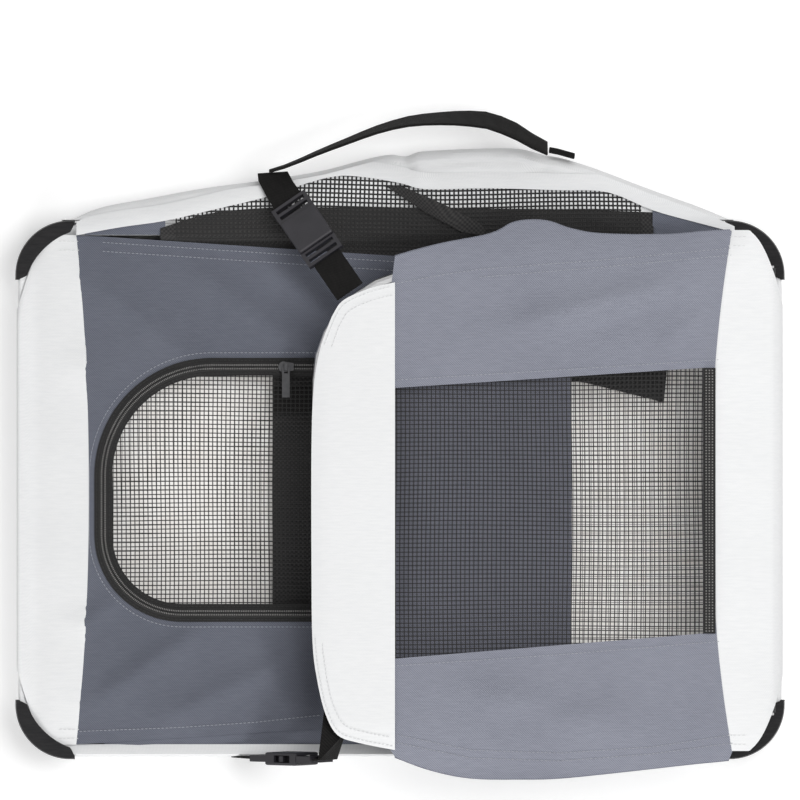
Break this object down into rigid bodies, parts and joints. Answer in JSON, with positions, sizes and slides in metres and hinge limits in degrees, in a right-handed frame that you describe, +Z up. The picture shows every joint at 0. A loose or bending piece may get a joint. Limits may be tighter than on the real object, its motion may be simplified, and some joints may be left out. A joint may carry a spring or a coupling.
{
  "type": "soft folding dog crate",
  "caption": "Folded soft dog crate with hinged steel end frames, fabric ends, zipped net door, net window, fold-out roof and side walls, buckled straps and a webbing handle.",
  "frame": {"origin": "centre of the underside of the floor cloth, where the folded crate rests", "axes": "+Z up, away from the surface it lies on; +X along the crate, from the door end to the window end; +Y towards the edge with the carrying handle"},
  "size_m": [0.6, 0.5204, 0.0964],
  "materials": {
    "white_fabric": "matt woven polyester",
    "grey_fabric": "matt coarse-woven polyester",
    "dark_fabric": "matt woven polyester",
    "black_net": "open knitted net",
    "black_webbing": "ribbed woven webbing",
    "black_felt": "felt-like, no gloss",
    "fleece": "short soft pile",
    "board": "plain stiff board",
    "buckle_plastic": "moulded, soft gloss",
    "plug_plastic": "moulded, matt",
    "steel_tube": "plated tube",
    "steel_plate": "plated plate",
    "zip_metal": "polished die-cast"
  },
  "bodies": {
    "base": {"floor_cloth": "white_fabric", "base_tube_ring": "steel_tube", "floor_board": "board", "fleece_mat": "fleece", "base_band": "white_fabric", "right_riser_band": "white_fabric", "corner_protector_front_left": "black_felt", "corner_protector_front_right": "black_felt", "corner_protector_back_left": "black_felt", "corner_protector_back_right": "black_felt", "left_back_bracket": "steel_plate", "left_front_bracket": "steel_plate", "right_back_bracket": "steel_plate", "right_front_bracket": "steel_plate", "back_roll": "white_fabric", "back_foot_net": "black_net", "back_foot_patch_left": "grey_fabric", "back_foot_patch_right": "grey_fabric", "handle_tail": "black_webbing", "top_strap_base": "black_webbing", "top_buckle_female": "buckle_plastic", "low_strap_base": "black_webbing", "low_buckle_female": "buckle_plastic"},
    "left_end": {"left_end_frame": "steel_tube", "left_end_white_strip": "white_fabric", "left_end_panel": "grey_fabric", "door_net": "black_net", "door_zip": "black_webbing", "door_tie_tab": "black_webbing", "left_back_leg_plug": "plug_plastic", "left_front_leg_plug": "plug_plastic"},
    "right_end": {"right_end_frame": "steel_tube", "right_end_white_strip": "white_fabric", "right_end_panel": "grey_fabric", "window_net": "black_net", "window_binding": "black_webbing", "right_end_top_strip": "white_fabric", "right_end_hem_back": "grey_fabric", "right_end_hem_front": "grey_fabric", "right_back_leg_plug": "plug_plastic", "right_front_leg_plug": "plug_plastic", "top_strap_end": "black_webbing", "low_strap_end": "black_webbing"},
    "roof_right": {"roof_right": "dark_fabric"},
    "roof_left": {"roof_left": "dark_fabric"},
    "roof_middle": {"roof_middle": "dark_fabric"},
    "back_wall_lower": {"back_wall_lower": "black_net"},
    "back_wall_upper": {"back_wall_upper": "black_net"},
    "front_wall_lower": {"front_wall_lower": "black_net"},
    "front_wall_upper": {"front_wall_upper": "black_net"},
    "handle": {"carrying_handle": "black_webbing"},
    "zip_slider": {"zip_slider": "zip_metal"},
    "zip_puller": {"zip_puller": "zip_metal"},
    "top_male": {"top_buckle_male": "buckle_plastic"},
    "top_prong_a": {"top_prong_a": "buckle_plastic"},
    "top_prong_b": {"top_prong_b": "buckle_plastic"},
    "low_male": {"low_buckle_male": "buckle_plastic"},
    "low_prong_a": {"low_prong_a": "buckle_plastic"},
    "low_prong_b": {"low_prong_b": "buckle_plastic"}
  },
  "joints": [
    {"name": "right_end_swing", "type": "hinge", "parent": "base", "child": "right_end", "pos_m": [0.285, 0, 0.0858], "axis": [0, 1, 0], "range_deg": [0, 90], "deforming": ["right_end_panel", "window_net", "window_binding", "right_end_top_strip", "right_end_hem_back", "right_end_hem_front", "back_foot_net"]},
    {"name": "left_end_swing", "type": "hinge", "parent": "base", "child": "left_end", "pos_m": [-0.285, 0, 0.0284], "axis": [0, -1, 0], "range_deg": [0, 90], "deforming": ["left_end_white_strip"]},
    {"name": "roof_right_fold", "type": "hinge", "parent": "right_end", "child": "roof_right", "pos_m": [-0.0619, 0, 0.0858], "axis": [0, 1, 0], "range_deg": [0, 90], "deforming": ["roof_right"]},
    {"name": "roof_left_fold", "type": "hinge", "parent": "left_end", "child": "roof_left", "pos_m": [0.1193, 0, 0.0271], "axis": [0, -1, 0], "range_deg": [0, 90], "deforming": ["roof_left"]},
    {"name": "roof_middle_fold", "type": "hinge", "parent": "roof_left", "child": "roof_middle", "pos_m": [-0.0997, 0, 0.02095], "axis": [0, 1, 0], "range_deg": [0, 180], "deforming": ["roof_middle"]},
    {"name": "back_wall_lower_fold", "type": "hinge", "parent": "base", "child": "back_wall_lower", "pos_m": [0, 0.1965, 0.0151], "axis": [-1, 0, 0], "range_deg": [0, 90], "deforming": ["back_wall_lower"]},
    {"name": "back_wall_upper_fold", "type": "hinge", "parent": "back_wall_lower", "child": "back_wall_upper", "pos_m": [0, -0.0105, 0.01575], "axis": [1, 0, 0], "range_deg": [0, 180], "deforming": ["back_wall_upper"]},
    {"name": "front_wall_lower_fold", "type": "hinge", "parent": "base", "child": "front_wall_lower", "pos_m": [0, -0.1965, 0.0177], "axis": [1, 0, 0], "range_deg": [0, 90], "deforming": ["front_wall_lower"]},
    {"name": "front_wall_upper_fold", "type": "hinge", "parent": "front_wall_lower", "child": "front_wall_upper", "pos_m": [0, 0.0105, 0.01835], "axis": [-1, 0, 0], "range_deg": [0, 180], "deforming": ["front_wall_upper"]},
    {"name": "handle_swing", "type": "hinge", "parent": "base", "child": "handle", "pos_m": [0.0065, 0.25717, 0.0463], "axis": [0.9967, 0.0808, 0], "range_deg": [0, 90]},
    {"name": "zip_slide", "type": "slide", "parent": "left_end", "child": "zip_slider", "axis": [1, 0, 0], "range_m": [-0.046, 0.13]},
    {"name": "zip_puller_swing", "type": "hinge", "parent": "zip_slider", "child": "zip_puller", "pos_m": [-0.089, 0.0954, 0.0418], "axis": [-1, 0, 0], "range_deg": [0, 170]},
    {"name": "top_buckle_slide", "type": "slide", "parent": "right_end", "child": "top_male", "axis": [0.5212, -0.7613, 0.3858], "range_m": [0, 0.03], "deforming": ["top_strap_end", "top_prong_a", "top_prong_b"]},
    {"name": "top_prong_a_flex", "type": "hinge", "parent": "top_male", "child": "top_prong_a", "pos_m": [-0.05736, 0.1975, 0.06882], "axis": [-0.2179, 0.3183, 0.9226], "range_deg": [0, 14], "stiffness_Nm_per_rad": 0.1},
    {"name": "top_prong_b_flex", "type": "hinge", "parent": "top_male", "child": "top_prong_b", "pos_m": [-0.07254, 0.1871, 0.06882], "axis": [0.2179, -0.3183, -0.9226], "range_deg": [0, 14], "stiffness_Nm_per_rad": 0.1},
    {"name": "low_buckle_slide", "type": "slide", "parent": "right_end", "child": "low_male", "axis": [0.8192, 0, 0.5735], "range_m": [0, 0.03], "deforming": ["low_strap_end", "low_prong_a", "low_prong_b"]},
    {"name": "low_prong_a_flex", "type": "hinge", "parent": "low_male", "child": "low_prong_a", "pos_m": [-0.07862, -0.2085, 0.08079], "axis": [0, -1, 0], "range_deg": [0, 14], "stiffness_Nm_per_rad": 0.1},
    {"name": "low_prong_b_flex", "type": "hinge", "parent": "low_male", "child": "low_prong_b", "pos_m": [-0.06807, -0.2085, 0.06572], "axis": [0, 1, 0], "range_deg": [0, 14], "stiffness_Nm_per_rad": 0.1}
  ],
  "couplings": [
    {"joint": "left_end_swing", "follows": "right_end_swing", "ratio": 1},
    {"joint": "roof_right_fold", "follows": "right_end_swing", "ratio": 1},
    {"joint": "roof_left_fold", "follows": "right_end_swing", "ratio": 1},
    {"joint": "roof_middle_fold", "follows": "right_end_swing", "ratio": 2},
    {"joint": "back_wall_lower_fold", "follows": "right_end_swing", "ratio": 1},
    {"joint": "back_wall_upper_fold", "follows": "right_end_swing", "ratio": 2},
    {"joint": "front_wall_lower_fold", "follows": "right_end_swing", "ratio": 1},
    {"joint": "front_wall_upper_fold", "follows": "right_end_swing", "ratio": 2}
  ]
}
